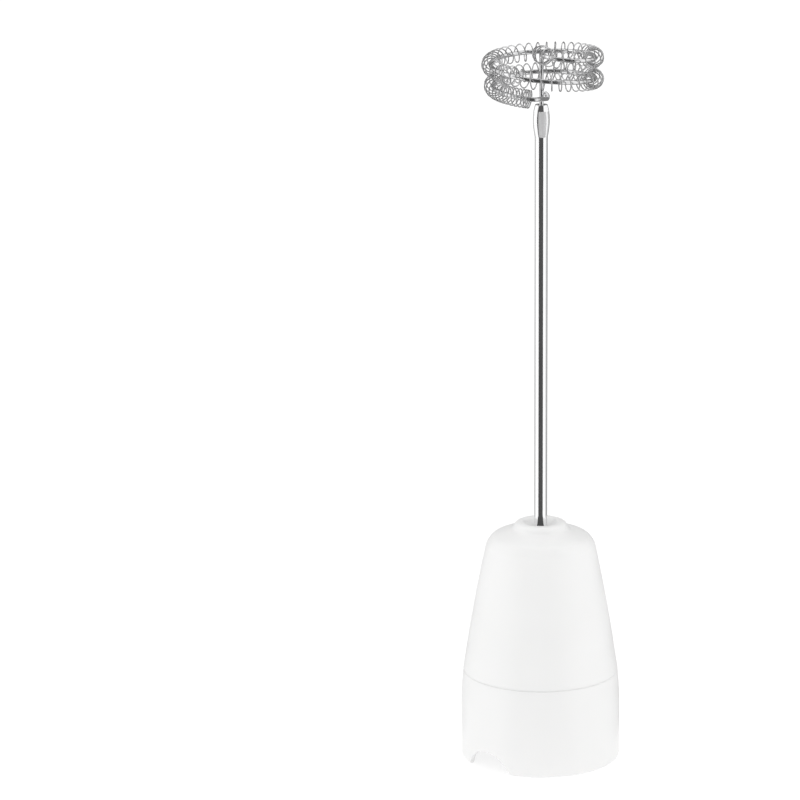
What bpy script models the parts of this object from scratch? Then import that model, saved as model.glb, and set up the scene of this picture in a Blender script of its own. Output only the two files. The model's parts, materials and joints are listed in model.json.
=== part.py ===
"""Milk frother attachment: a planetary gear head with a coupling skirt, standing on its rim,
and a plug-in whisk whose coil spring is threaded on a wire ring.

The origin is the centre of the skirt's rim, +Z runs up the shaft, and the release notch faces -Y.
"""

import math

import bmesh
import bpy
import numpy as np
from mathutils import Vector

MM = 0.001
GAP = 0.3 * MM  # between pieces that touch

# Coupling skirt
SKIRT_R = 26.0 * MM
SKIRT_TOP_R = 25.4 * MM
SKIRT_INNER_R = 24.0 * MM
SKIRT_EDGE_R = 0.9 * MM
SEAM_Z = 29.7 * MM
FLANGE_Z = (25.2 * MM, 26.3 * MM)
LUG_SIZE = (2.4 * MM, 7.0 * MM, 3.0 * MM)
LUG_R = 24.1 * MM
LUG_Z = 10.5 * MM
NOTCH_R = 9.5 * MM
NOTCH_DROP = 3.0 * MM

# Gear housing
WALL = 2.0 * MM
HOUSING_HEAD_R = 18.0 * MM
HOUSING_HEAD_Z = 71.7 * MM
HOUSING_SWELL = 0.35 * MM
# Radius and height of points on the shoulder and the collar, from the taper's head inwards, in millimetres
SHOULDER = ((17.2, 73.5), (16.2, 74.75), (14.9, 75.6), (12.6, 76.4), (10.3, 77.1), (9.3, 77.65))
COLLAR = ((8.8, 78.4), (8.2, 79.4), (7.2, 79.85), (6.0, 79.9), (4.9, 79.5), (3.6, 78.65), (2.4, 78.2))
HOLE_Z = 77.4 * MM  # underside of the dish in the collar, which the rod goes through
COLLAR_BORE_R = 5.85 * MM
BOSS_R = 7.6 * MM
BOSS_LIP_R = 4.9 * MM
BOSS_Z = (53.0 * MM, 55.7 * MM)  # foot of the bearing boss, and the seat of its bush
SPIGOT_R = 23.6 * MM
SPIGOT_INNER_R = 22.0 * MM
SPIGOT_BOTTOM_Z = 26.6 * MM

# Gear set: fixed ring, three planets, driven sun
MODULE = 0.8 * MM
PRESSURE_ANGLE = math.radians(25.0)
ADDENDUM = 0.9
DEDENDUM = 1.15
BACKLASH = 0.14 * MM
SUN_TEETH = 12
PLANET_TEETH = 15
RING_TEETH = 42
PLANETS = 3
CENTRE_DISTANCE = MODULE * (SUN_TEETH + PLANET_TEETH) / 2
PLANET_Z = (27.0 * MM, 34.0 * MM)
SUN_Z = (26.9 * MM, 34.1 * MM)
RING_GEAR_R = 21.6 * MM
RING_GEAR_Z = (25.2 * MM, 34.6 * MM)
CARRIER_Z = (34.5 * MM, 37.7 * MM)
CARRIER_R = 12.4 * MM
CARRIER_LOBE = 2.0 * MM
PIN_R = 1.5 * MM
PIN_HEAD_R = 2.4 * MM
PIN_HEAD_Z = (25.9 * MM, 26.7 * MM)
WASHER_R = 4.4 * MM
WASHER_Z = (26.2 * MM, 26.6 * MM)

# Plate that closes the gearbox, and the screws that clamp it, the skirt's flange and the ring gear
PLATE_Z = (21.9 * MM, 24.9 * MM)
PLATE_R = 23.6 * MM
PLATE_BORE_R = 4.5 * MM
PLATE_RECESS_R = 7.2 * MM
PLATE_RECESS = 0.8 * MM
SCREWS = 3
SCREW_CIRCLE_R = 19.7 * MM
SCREW_ANGLE = math.radians(60.0 + 180.0 / RING_TEETH)
SCREW_R = 1.1 * MM
SCREW_HOLE_R = 1.4 * MM
SCREW_HEAD_R = 2.1 * MM
SCREW_HEAD = 1.2 * MM
SCREW_END_Z = 44.0 * MM
SCREW_SINK_R = 2.5 * MM
SCREW_SINK = 1.6 * MM
SCREW_BOSS_R = 2.3 * MM
SCREW_BOSS_Z = (34.9 * MM, 49.5 * MM)
SCREW_BOSS_HOLE_Z = (34.0 * MM, 45.0 * MM)

# Shafts and their bearings
RUNNING = 0.1 * MM
SHAFT_R = 2.0 * MM
SHAFT_Z = (17.3 * MM, 34.2 * MM)
COUPLING_R = 6.3 * MM
COUPLING_Z = (9.0 * MM, 17.0 * MM, 21.4 * MM)  # mouth, floor of the splined socket, top
SPLINES = 6
SPLINE_R = 3.5 * MM
SPLINE_DEPTH = 0.6 * MM
SPINDLE_R = 4.4 * MM
SPINDLE_BORE_R = 2.25 * MM
SPINDLE_FLOOR_Z = 44.7 * MM
SOCKET_R = 2.24 * MM
SOCKET_TOP_Z = 53.6 * MM
SPINDLE_TOP_Z = 74.6 * MM
STUB_R = 2.9 * MM
STUB_Z = 34.9 * MM
OUTPUT_BUSH_Z = (56.0 * MM, 66.0 * MM)
CLIP_GROOVE_R = 4.0 * MM
CLIP_GROOVE_Z = (66.6 * MM, 67.9 * MM)
CLIP_Z = (66.9 * MM, 67.6 * MM)
GRIP_GROOVE_R = 3.6 * MM
GRIP_GROOVE_Z = (69.9 * MM, 71.7 * MM)
SEAL_Z = (74.9 * MM, 77.1 * MM)

# Whisk: rod, pressed end, core wire and coil
FRONT = math.radians(-47.0)  # the way that the wire's arm points
TIP_R = 1.9 * MM
TIP_Z = (45.0 * MM, 53.5 * MM)
ROD_NECK_R = 0.8 * MM
ROD_NECK_Z = (45.6 * MM, 54.0 * MM)
ROD_R = 2.1 * MM
ROD_MOUTH_R = 1.95 * MM
ROD_MOUTH_Z = 218.6 * MM
ROD_BORE_R = 1.1 * MM
ROD_BORE_FLOOR_Z = 204.5 * MM
PRESSED_Z = (208.1 * MM, 216.5 * MM)
PRESSED_BULGE = 0.62 * MM
PRESSED_DEPTH = 1.86 * MM
PRESSED_TURN = math.radians(11.0)  # from the front to the way that the pressed flat faces
BULGE_Z = (208.0 * MM, 219.0 * MM)
WIRE_R = 0.73 * MM
WIRE_FOOT_Z = 205.5 * MM
RING_R = 16.6 * MM
RING_OFFSET = 0.4 * MM  # the ring's centre lies this far to the right of the rod
RING_SHRINK = 0.8 * MM  # how much smaller the ring is by the middle of its second turn
# Height of the wire ring at each quarter turn, from the arm's end down, in millimetres
RING_Z = (233.9, 232.7, 231.6, 229.3, 227.0, 226.2, 224.7, 223.0, 221.6)
RING_END = math.radians(615.0)
ARM_Z = 235.4 * MM
POST_BEND_R = 2.2 * MM
TAIL_BEND_R = 2.4 * MM
TAIL_HEADING = math.radians(72.0)
TAIL_DROP = 0.3 * MM
HOOK_R = 2.0 * MM
HOOK_Z = (220.6 * MM, 222.0 * MM)
HOOK_TURN = (math.radians(-28.0), math.radians(60.0))
COIL_R = 2.87 * MM
COIL_WIRE_R = 0.25 * MM
COIL_PITCH = 2.75 * MM
COIL_DENSE_PITCH = 1.35 * MM
COIL_DENSE_LENGTH = 16.0 * MM
COIL_LEAD_LENGTH = 4.23 * MM
COIL_EASE = 0.3  # share of the dense length over which the winding closes up

STEPS = 48
SMALL_STEPS = 24

COLOURS = {
    "white_plastic": ((0.86, 0.86, 0.85), 0.42, 0.0),
    "natural_nylon": ((0.78, 0.76, 0.70), 0.5, 0.0),
    "grey_plastic": ((0.30, 0.30, 0.31), 0.5, 0.0),
    "black_rubber": ((0.05, 0.05, 0.055), 0.7, 0.0),
    "bronze": ((0.55, 0.36, 0.18), 0.35, 1.0),
    "steel": ((0.62, 0.62, 0.63), 0.22, 1.0),
}


def clear_scene():
    for obj in list(bpy.data.objects):
        bpy.data.objects.remove(obj)


def new_collection(name):
    collection = bpy.data.collections.new(name)
    bpy.context.scene.collection.children.link(collection)
    return collection


def material_for(name, finish):
    colour, roughness, metallic = COLOURS[finish]
    material = bpy.data.materials.new(f"{name}_{finish}")
    material.use_nodes = True
    shader = material.node_tree.nodes["Principled BSDF"]
    shader.inputs["Base Color"].default_value = (*colour, 1.0)
    shader.inputs["Roughness"].default_value = roughness
    shader.inputs["Metallic"].default_value = metallic
    material.diffuse_color = (*colour, 1.0)
    return material


def add_object(name, data, finish):
    """An object in the part's collection, or in the cutters' when it has no finish."""
    obj = bpy.data.objects.new(name, data)
    if finish is None:
        CUTTERS.objects.link(obj)
        obj.hide_render = True
        obj.display_type = "WIRE"
    else:
        PART.objects.link(obj)
        data.materials.append(material_for(name, finish))
    return obj


def smooth_by_angle(mesh):
    mesh.shade_smooth()
    mesh.set_sharp_from_angle(angle=math.radians(35.0))


def mesh_object(name, bm, finish):
    mesh = bpy.data.meshes.new(name)
    bm.to_mesh(mesh)
    bm.free()
    smooth_by_angle(mesh)
    return add_object(name, mesh, finish)


def turned(name, profile, finish, steps=SMALL_STEPS, closed=True):
    """A profile of (radius, z) points, outer side first from the top down, turned about Z."""
    mesh = bpy.data.meshes.new(name)
    count = len(profile)
    edges = [(i, i + 1) for i in range(count - 1)]
    if closed:
        edges.append((count - 1, 0))
    mesh.from_pydata([(r, 0.0, z) for r, z in profile], edges, [])
    obj = add_object(name, mesh, finish)
    screw = obj.modifiers.new("Turn", "SCREW")
    screw.axis = "Z"
    screw.angle = 2 * math.pi
    screw.steps = steps
    screw.render_steps = steps
    screw.use_merge_vertices = True
    screw.merge_threshold = 0.00001
    screw.use_smooth_shade = True
    return obj


def sleeve(name, inner, outer, z_low, z_high, finish):
    """A plain tube between two radii."""
    profile = [(outer, z_high), (outer, z_low), (inner, z_low), (inner, z_high)]
    return turned(name, profile, finish)


def cylinder(name, radius, z_low, z_high, finish=None, segments=16):
    bm = bmesh.new()
    bmesh.ops.create_cone(
        bm, cap_ends=True, segments=segments, radius1=radius, radius2=radius, depth=z_high - z_low
    )
    bmesh.ops.translate(bm, verts=bm.verts, vec=(0, 0, (z_low + z_high) / 2))
    return mesh_object(name, bm, finish)


def block(name, size, centre, finish=None):
    bm = bmesh.new()
    bmesh.ops.create_cube(bm, size=1.0)
    bmesh.ops.scale(bm, verts=bm.verts, vec=size)
    bmesh.ops.translate(bm, verts=bm.verts, vec=centre)
    return mesh_object(name, bm, finish)


def boolean(obj, other, operation="DIFFERENCE"):
    modifier = obj.modifiers.new(other.name, "BOOLEAN")
    modifier.operation = operation
    modifier.solver = "EXACT"
    modifier.object = other


def circle(radius, count=SMALL_STEPS, centre=(0.0, 0.0)):
    angles = [2 * math.pi * i / count for i in range(count)]
    return [(centre[0] + radius * math.cos(a), centre[1] + radius * math.sin(a)) for a in angles]


def flat(name, outlines, z_low, z_high, finish):
    """A plate with the first outline, and the others as holes in it."""
    curve = bpy.data.curves.new(name, "CURVE")
    curve.dimensions = "2D"
    curve.fill_mode = "BOTH"
    curve.extrude = (z_high - z_low) / 2
    for outline in outlines:
        spline = curve.splines.new("POLY")
        spline.points.add(len(outline) - 1)
        for point, (x, y) in zip(spline.points, outline):
            point.co = (x, y, 0.0, 1.0)
        spline.use_cyclic_u = True
    obj = add_object(name, curve, finish)
    obj.location.z = (z_low + z_high) / 2
    return obj


def to_mesh_cutter(obj):
    """A closed mesh copy of a curve, to cut with."""
    bpy.context.view_layer.update()
    graph = bpy.context.evaluated_depsgraph_get()
    mesh = bpy.data.meshes.new_from_object(obj.evaluated_get(graph))
    bm = bmesh.new()
    bm.from_mesh(mesh)
    bmesh.ops.remove_doubles(bm, verts=bm.verts, dist=0.000001)
    bmesh.ops.recalc_face_normals(bm, faces=bm.faces)
    bm.to_mesh(mesh)
    bm.free()
    cutter = add_object(obj.name + "_mesh", mesh, None)
    cutter.matrix_world = obj.matrix_world
    bpy.data.objects.remove(obj)
    return cutter


def wire(name, points, radius, resolution, finish):
    """A round wire along a list of points."""
    curve = bpy.data.curves.new(name, "CURVE")
    curve.dimensions = "3D"
    curve.bevel_depth = radius
    curve.bevel_resolution = resolution
    curve.use_fill_caps = True
    spline = curve.splines.new("POLY")
    spline.points.add(len(points) - 1)
    for point, co in zip(spline.points, points):
        point.co = (*co, 1.0)
    spline.use_smooth = True
    return add_object(name, curve, finish)


def arc(centre, radius, start, end, count):
    """Points (r, z) on an arc, with its angles in degrees."""
    angles = [math.radians(start + (end - start) * i / count) for i in range(count + 1)]
    return [(centre[0] + radius * math.cos(a), centre[1] + radius * math.sin(a)) for a in angles]


# ---- housing ----


def shell_radius(z):
    """Outer radius of the gear housing: a straight taper, slightly swollen in the middle."""
    u = (z - SEAM_Z) / (HOUSING_HEAD_Z - SEAM_Z)
    swell = HOUSING_SWELL * math.sin(math.pi * u)
    return SKIRT_TOP_R + (HOUSING_HEAD_R - SKIRT_TOP_R) * u + swell


def at_screw(obj, index):
    angle = SCREW_ANGLE + index * 2 * math.pi / SCREWS
    obj.location.x = SCREW_CIRCLE_R * math.cos(angle)
    obj.location.y = SCREW_CIRCLE_R * math.sin(angle)
    return obj


def upper_housing():
    heights = [HOUSING_HEAD_Z - i * (HOUSING_HEAD_Z - SEAM_Z) / 4 for i in range(5)]
    outer = [(r * MM, z * MM) for r, z in reversed(SHOULDER + COLLAR)]
    outer += [(shell_radius(z), z) for z in heights]
    spigot = [(SPIGOT_R, SEAM_Z), (SPIGOT_R, SPIGOT_BOTTOM_Z), (SPIGOT_INNER_R, SPIGOT_BOTTOM_Z)]
    inner = [(SPIGOT_INNER_R, SEAM_Z + 1.0 * MM)]
    inner += [(shell_radius(z) - WALL, z) for z in (heights[2], heights[0])]
    inner += [(13.8 * MM, 73.6 * MM), (BOSS_R, 74.6 * MM)]
    boss = [(BOSS_R, BOSS_Z[0]), (BOSS_LIP_R, BOSS_Z[0]), (BOSS_LIP_R, BOSS_Z[1])]
    boss += [(COLLAR_BORE_R, BOSS_Z[1]), (COLLAR_BORE_R, HOLE_Z), (outer[0][0], HOLE_Z)]
    obj = turned("upper_housing", outer + spigot + inner + boss, "white_plastic", STEPS)
    for index in range(SCREWS):
        post = cylinder(f"boss_{index}", SCREW_BOSS_R, *SCREW_BOSS_Z)
        boolean(obj, at_screw(post, index), "UNION")
    for index in range(SCREWS):
        hole = cylinder(f"boss_hole_{index}", SCREW_HOLE_R, *SCREW_BOSS_HOLE_Z)
        boolean(obj, at_screw(hole, index))
    return obj


def coupling_skirt():
    edge = 0.3 * MM
    top = SEAM_Z - GAP
    profile = [(SKIRT_TOP_R - edge, top), (SKIRT_TOP_R, top - edge)]
    profile += [(25.72 * MM, 25.6 * MM), (SKIRT_R, 20.0 * MM)]
    profile += arc((SKIRT_R - SKIRT_EDGE_R, SKIRT_EDGE_R), SKIRT_EDGE_R, 0, -90, 3)
    profile += [(SKIRT_INNER_R + edge, 0.0), (SKIRT_INNER_R, edge)]
    profile += [(SKIRT_INNER_R, FLANGE_Z[0]), (SPIGOT_INNER_R, FLANGE_Z[0])]
    profile += [(SPIGOT_INNER_R, FLANGE_Z[1]), (SKIRT_INNER_R, FLANGE_Z[1])]
    profile += [(SKIRT_INNER_R, top)]
    obj = turned("coupling_skirt", profile, "white_plastic", STEPS)
    for side in (-1, 1):
        lug = block(f"lug_{side + 1}", LUG_SIZE, (side * LUG_R, 0, LUG_Z))
        boolean(obj, lug, "UNION")
    notch = cylinder("notch_cutter", NOTCH_R, -5.0 * MM, 5.0 * MM, segments=STEPS)
    notch.rotation_euler.x = math.pi / 2
    notch.location = (0, -SKIRT_R, -NOTCH_DROP)
    boolean(obj, notch)
    return obj


def gearbox_plate():
    low, high = PLATE_Z
    recess_z = low + PLATE_RECESS
    profile = [(PLATE_R, high), (PLATE_R, low), (PLATE_RECESS_R, low)]
    profile += [(PLATE_RECESS_R, recess_z), (PLATE_BORE_R, recess_z), (PLATE_BORE_R, high)]
    obj = turned("gearbox_plate", profile, "white_plastic", STEPS)
    for index in range(SCREWS):
        hole = cylinder(f"plate_hole_{index}", SCREW_HOLE_R, low - MM, high + MM)
        sink = cylinder(f"plate_sink_{index}", SCREW_SINK_R, low - MM, low + SCREW_SINK)
        boolean(obj, at_screw(hole, index))
        boolean(obj, at_screw(sink, index))
    return obj


def plate_screw(index):
    edge = 0.4 * MM
    head_low = PLATE_Z[0] + 0.1 * MM
    head_high = head_low + SCREW_HEAD
    profile = [(0.0, SCREW_END_Z), (SCREW_R * 0.5, SCREW_END_Z - edge)]
    profile += [(SCREW_R, SCREW_END_Z - 1.4 * MM), (SCREW_R, head_high), (SCREW_HEAD_R, head_high)]
    profile += [(SCREW_HEAD_R, head_low + edge), (SCREW_HEAD_R - edge, head_low), (0.0, head_low)]
    obj = turned(f"plate_screw_{index + 1}", profile, "steel", 16, closed=False)
    for turn in range(2):
        slot = block(f"slot_{index}_{turn}", (2.4 * MM, 0.5 * MM, 1.2 * MM), (0, 0, head_low))
        slot.rotation_euler.z = turn * math.pi / 2
        boolean(obj, at_screw(slot, index))
    return at_screw(obj, index)


# ---- gears ----


def involute(angle):
    return math.tan(angle) - angle


def tooth_half_angle(radius, teeth, extra):
    """Half the angle that a tooth fills at a radius, with its arc at the pitch circle made extra wider."""
    pitch_r = MODULE * teeth / 2
    base_r = pitch_r * math.cos(PRESSURE_ANGLE)
    at = math.acos(min(1.0, base_r / radius))
    half = (math.pi * MODULE / 2 + extra) / (2 * pitch_r)
    return half + involute(PRESSURE_ANGLE) - involute(at)


def gear_outline(teeth, inner, outer, extra, turn):
    """Tooth outline between two radii. The first tooth is centred at the angle turn."""
    base_r = MODULE * teeth / 2 * math.cos(PRESSURE_ANGLE)
    middle = (max(base_r, inner) + outer) / 2
    flank = [(r, tooth_half_angle(r, teeth, extra)) for r in (inner, middle, outer)]
    points = []
    for tooth in range(teeth):
        centre = turn + 2 * math.pi * tooth / teeth
        side = [(r, centre - half) for r, half in flank]
        side += [(r, centre + half) for r, half in reversed(flank)]
        points += [(r * math.cos(a), r * math.sin(a)) for r, a in side]
    return points


def external_gear(name, teeth, bore, z_low, z_high, turn, finish):
    pitch_r = MODULE * teeth / 2
    inner, outer = pitch_r - DEDENDUM * MODULE, pitch_r + ADDENDUM * MODULE
    outline = gear_outline(teeth, inner, outer, -BACKLASH, turn)
    return flat(name, [outline, circle(bore, 16)], z_low, z_high, finish)


def ring_gear():
    pitch_r = MODULE * RING_TEETH / 2
    inner, outer = pitch_r - ADDENDUM * MODULE, pitch_r + DEDENDUM * MODULE
    space = gear_outline(RING_TEETH, inner, outer, BACKLASH, 0.0)
    holes = []
    for index in range(SCREWS):
        angle = SCREW_ANGLE + index * 2 * math.pi / SCREWS
        centre = (SCREW_CIRCLE_R * math.cos(angle), SCREW_CIRCLE_R * math.sin(angle))
        holes.append(circle(SCREW_HOLE_R, 16, centre))
    return flat("ring_gear", [circle(RING_GEAR_R, STEPS), space, *holes], *RING_GEAR_Z, "natural_nylon")


def planet_place(index):
    angle = 2 * math.pi * index / PLANETS
    return CENTRE_DISTANCE * math.cos(angle), CENTRE_DISTANCE * math.sin(angle)


def planet(index):
    angle = 2 * math.pi * index / PLANETS
    name = f"planet_gear_{index + 1}"
    return external_gear(name, PLANET_TEETH, PIN_R + 0.2 * MM, *PLANET_Z, angle, "natural_nylon")


def planet_pin(index):
    low, high = PIN_HEAD_Z
    profile = [(0.0, CARRIER_Z[1]), (PIN_R, CARRIER_Z[1]), (PIN_R, high), (PIN_HEAD_R, high)]
    profile += [(PIN_HEAD_R, low), (0.0, low)]
    obj = turned(f"planet_pin_{index + 1}", profile, "steel", 16, closed=False)
    obj.location.x, obj.location.y = planet_place(index)
    return obj


def planet_carrier():
    """A three-lobed spider: each lobe holds a pin."""
    outline = []
    for i in range(STEPS):
        a = 2 * math.pi * i / STEPS
        r = CARRIER_R + CARRIER_LOBE * math.cos(PLANETS * a)
        outline.append((r * math.cos(a), r * math.sin(a)))
    holes = [circle(PIN_R + GAP, 16, planet_place(index)) for index in range(PLANETS)]
    bore = circle(STUB_R + GAP, 16)
    return flat("planet_carrier", [outline, bore, *holes], *CARRIER_Z, "grey_plastic")


# ---- input side ----


def drive_coupling():
    mouth, web, top = COUPLING_Z
    chamfer, hole = 0.8 * MM, SHAFT_R + GAP
    profile = [(COUPLING_R, top), (COUPLING_R, mouth + chamfer), (COUPLING_R - chamfer, mouth)]
    profile += [(hole, mouth), (hole, top)]
    obj = turned("drive_coupling", profile, "grey_plastic")
    outline = []
    for i in range(STEPS):
        a = 2 * math.pi * i / STEPS
        r = SPLINE_R + SPLINE_DEPTH * math.cos(SPLINES * a)
        outline.append((r * math.cos(a), r * math.sin(a)))
    splines = flat("spline_cutter", [outline], mouth - MM, web, "grey_plastic")
    boolean(obj, to_mesh_cutter(splines))
    return obj


def input_bush():
    inner, body, flange = SHAFT_R + RUNNING, PLATE_BORE_R - GAP, 5.6 * MM
    low, seat, high = 23.0 * MM, 25.2 * MM, 26.0 * MM
    profile = [(flange, high), (flange, seat), (body, seat), (body, low), (inner, low), (inner, high)]
    return turned("input_bush", profile, "bronze")


def output_bush():
    return sleeve("output_bush", SPINDLE_R + RUNNING, COLLAR_BORE_R - GAP, *OUTPUT_BUSH_Z, "bronze")


# ---- output side ----


def output_spindle():
    """Stub in the carrier, groove for the circlip, bore with a groove for the grip ring.

    A hexagonal socket below the bore takes the rod's tip."""
    edge, seat = 0.3 * MM, CARRIER_Z[1] + GAP
    outer = [(SPINDLE_R - edge, SPINDLE_TOP_Z), (SPINDLE_R, SPINDLE_TOP_Z - edge)]
    outer += [(SPINDLE_R, CLIP_GROOVE_Z[1]), (CLIP_GROOVE_R, CLIP_GROOVE_Z[1])]
    outer += [(CLIP_GROOVE_R, CLIP_GROOVE_Z[0]), (SPINDLE_R, CLIP_GROOVE_Z[0])]
    outer += [(SPINDLE_R, seat), (STUB_R, seat), (STUB_R, STUB_Z), (0.0, STUB_Z)]
    inner = [(0.0, SOCKET_TOP_Z), (SPINDLE_BORE_R, SOCKET_TOP_Z)]
    inner += [(SPINDLE_BORE_R, GRIP_GROOVE_Z[0]), (GRIP_GROOVE_R, GRIP_GROOVE_Z[0])]
    inner += [(GRIP_GROOVE_R, GRIP_GROOVE_Z[1]), (SPINDLE_BORE_R, GRIP_GROOVE_Z[1])]
    inner += [(SPINDLE_BORE_R, SPINDLE_TOP_Z)]
    obj = turned("output_spindle", inner + outer, "steel", closed=False)
    hexagon = circle(SOCKET_R, 6)
    socket = flat("socket_cutter", [hexagon], SPINDLE_FLOOR_Z, SOCKET_TOP_Z + MM, "steel")
    boolean(obj, to_mesh_cutter(socket))
    return obj


def circlip():
    """An open ring with a gap of a sixth of a turn."""
    inner, outer, start, count = CLIP_GROOVE_R + GAP, 5.5 * MM, math.radians(30.0), 24
    angles = [start + (2 * math.pi - 2 * start) * i / count for i in range(count + 1)]
    outline = [(outer * math.cos(a), outer * math.sin(a)) for a in angles]
    outline += [(inner * math.cos(a), inner * math.sin(a)) for a in reversed(angles)]
    return flat("spindle_circlip", [outline], *CLIP_Z, "steel")


def grip_ring():
    middle_z = (GRIP_GROOVE_Z[0] + GRIP_GROOVE_Z[1]) / 2
    profile = arc((2.75 * MM, middle_z), 0.52 * MM, 90, -270, 8)[:-1]
    return turned("grip_ring", profile, "black_rubber")


def shaft_seal():
    """Rubber seal under the collar's dish, with a lip at the rod."""
    outer, lip, edge = COLLAR_BORE_R - GAP, ROD_R + GAP, 0.3 * MM
    low, high = SEAL_Z
    profile = [(outer - edge, high), (outer, high - edge), (outer, low), (lip, low)]
    profile += [(lip, low + 0.8 * MM), (lip + 0.8 * MM, low + 1.1 * MM), (outer - 0.9 * MM, high)]
    return turned("shaft_seal", profile, "black_rubber")


# ---- whisk ----


def front_frame(point):
    """A point given as (right, back, up), seen from the side that the wire's arm points to."""
    right, back, up = point
    turn = FRONT + math.pi / 2
    x = right * math.cos(turn) - back * math.sin(turn)
    y = right * math.sin(turn) + back * math.cos(turn)
    return Vector((x, y, up))


def rod_section(z, count):
    """Outline of the rod at a height: round, and pressed flat front and back over a short stretch."""
    u = min(1.0, max(0.0, (z - BULGE_Z[0]) / (BULGE_Z[1] - BULGE_Z[0])))
    taper = max(0.0, (z - PRESSED_Z[1]) / (ROD_MOUTH_Z - PRESSED_Z[1]))
    radius = ROD_R + (ROD_MOUTH_R - ROD_R) * taper
    half_width = radius + PRESSED_BULGE * math.sin(math.pi * u)
    pressed = PRESSED_Z[0] < z < PRESSED_Z[1]
    depth = PRESSED_DEPTH if pressed else radius
    cos, sin = math.cos(PRESSED_TURN), math.sin(PRESSED_TURN)
    points = []
    for i in range(count):
        a = 2 * math.pi * i / count
        side = half_width * math.cos(a)
        back = max(-depth, min(depth, radius * math.sin(a)))
        points.append(front_frame((side * cos - back * sin, side * sin + back * cos, z)))
    return points


def rod_heights():
    low, high = PRESSED_Z
    edge, steps = 0.01 * MM, 6
    heights = [ROD_NECK_Z[1], low - edge]
    heights += [low + edge + (high - low - 2 * edge) * i / steps for i in range(steps + 1)]
    heights += [high + edge, (high + ROD_MOUTH_Z) / 2, ROD_MOUTH_Z]
    return heights


def loft(bm, rings):
    """Quads between rings of vertices, each ring as long as the next."""
    for low, high in zip(rings, rings[1:]):
        count = len(low)
        for i in range(count):
            j = (i + 1) % count
            bm.faces.new((low[i], low[j], high[j], high[i]))


def round_section(radius, z, count):
    angles = [PRESSED_TURN + 2 * math.pi * i / count for i in range(count)]
    return [front_frame((radius * math.cos(a), radius * math.sin(a), z)) for a in angles]


def drive_rod():
    """Rod with a reduced lower end for the tip, a pressed upper end and a blind bore for the wire."""
    count = 20
    sections = [round_section(ROD_NECK_R, z, count) for z in ROD_NECK_Z]
    sections += [rod_section(z, count) for z in rod_heights()]
    sections += [round_section(ROD_BORE_R, z, count) for z in (ROD_MOUTH_Z, ROD_BORE_FLOOR_Z)]
    bm = bmesh.new()
    rings = [[bm.verts.new(point) for point in section] for section in sections]
    loft(bm, rings)
    bm.faces.new(reversed(rings[0]))
    bm.faces.new(rings[-1])
    bmesh.ops.recalc_face_normals(bm, faces=bm.faces)
    return mesh_object("drive_rod", bm, "steel")


def ring_height(turn):
    """Height of the wire ring after a turn, on a smooth curve through its quarter-turn heights."""
    place = turn / (math.pi / 2)
    index = min(int(place), len(RING_Z) - 2)
    u = place - index
    last = len(RING_Z) - 1
    a, b, c, d = (RING_Z[min(max(k, 0), last)] * MM for k in range(index - 1, index + 3))
    square, cube = 2 * a - 5 * b + 4 * c - d, 3 * b - a - 3 * c + d
    return 0.5 * (2 * b + (c - a) * u + square * u**2 + cube * u**3)


def ring_path(turns_from, turns_to, count):
    """Points of the ring seen from the front: it starts at the right and runs round by the back."""
    points = []
    for i in range(count + 1):
        a = turns_from + (turns_to - turns_from) * i / count
        shrink = max(0.0, a - 2 * math.pi) / (2 * math.pi)
        r = RING_R - RING_SHRINK * min(1.0, 2 * shrink)
        points.append(Vector((RING_OFFSET + r * math.cos(a), r * math.sin(a), ring_height(a))))
    return points


def arm_path(count):
    """From the bend over the post, out to the front and round to the ring's right-hand side."""
    half = (RING_R + RING_OFFSET) / 2
    points = []
    for i in range(count + 1):
        a = math.pi * i / count
        out = POST_BEND_R * (1 - a / math.pi) + half * math.sin(a)
        drop = (ARM_Z - RING_Z[0] * MM) * (1 - math.cos(a)) / 2
        points.append(Vector((half - half * math.cos(a), -out, ARM_Z - drop)))
    return points


def post_path():
    points = [Vector((0, 0, z)) for z in (WIRE_FOOT_Z, 212.0 * MM, ROD_MOUTH_Z, 226.0 * MM)]
    for i in range(6):
        a = math.pi / 2 * i / 6
        back = -POST_BEND_R * (1 - math.cos(a))
        points.append(Vector((0, back, ARM_Z - POST_BEND_R + POST_BEND_R * math.sin(a))))
    return points


def tail_path():
    """Off the end of the ring, inwards to the post, and hooked round it."""
    end = ring_path(RING_END, RING_END, 1)[0]
    heading = RING_END + math.pi / 2
    left = Vector((-math.sin(heading), math.cos(heading), 0))
    centre = end + TAIL_BEND_R * left
    bends, steps = 5, 6
    points = []
    for i in range(1, bends + 1):
        a = heading - math.pi / 2 + (TAIL_HEADING - heading + 4 * math.pi) * i / bends
        offset = Vector((math.cos(a), math.sin(a), 0)) * TAIL_BEND_R
        points.append(centre + offset - Vector((0, 0, TAIL_DROP * i / bends)))
    for i in range(steps + 1):
        a = HOOK_TURN[0] + (HOOK_TURN[1] - HOOK_TURN[0]) * i / steps
        z = HOOK_Z[0] + (HOOK_Z[1] - HOOK_Z[0]) * i / steps
        points.append(Vector((HOOK_R * math.cos(a), HOOK_R * math.sin(a), z)))
    return points


def whisk_wire():
    path = post_path() + arm_path(16) + ring_path(0.0, RING_END, 56)[1:] + tail_path()
    return wire("whisk_wire", [front_frame(p) for p in path], WIRE_R, 1, "steel")


def coil_axis(samples):
    """The stretch of the core wire that carries the coil, as points, tangents and distances."""
    path = arm_path(200) + ring_path(0.0, RING_END, 1200)[1:]
    points = np.array([tuple(p) for p in path])
    run = np.concatenate([[0.0], np.cumsum(np.linalg.norm(np.diff(points, axis=0), axis=1))])
    at = np.linspace(0.0, run[-1], samples)
    centre = np.stack([np.interp(at, run, points[:, k]) for k in range(3)], axis=1)
    tangent = np.gradient(centre, axis=0)
    tangent /= np.linalg.norm(tangent, axis=1)[:, None]
    return centre, tangent, at


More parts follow.
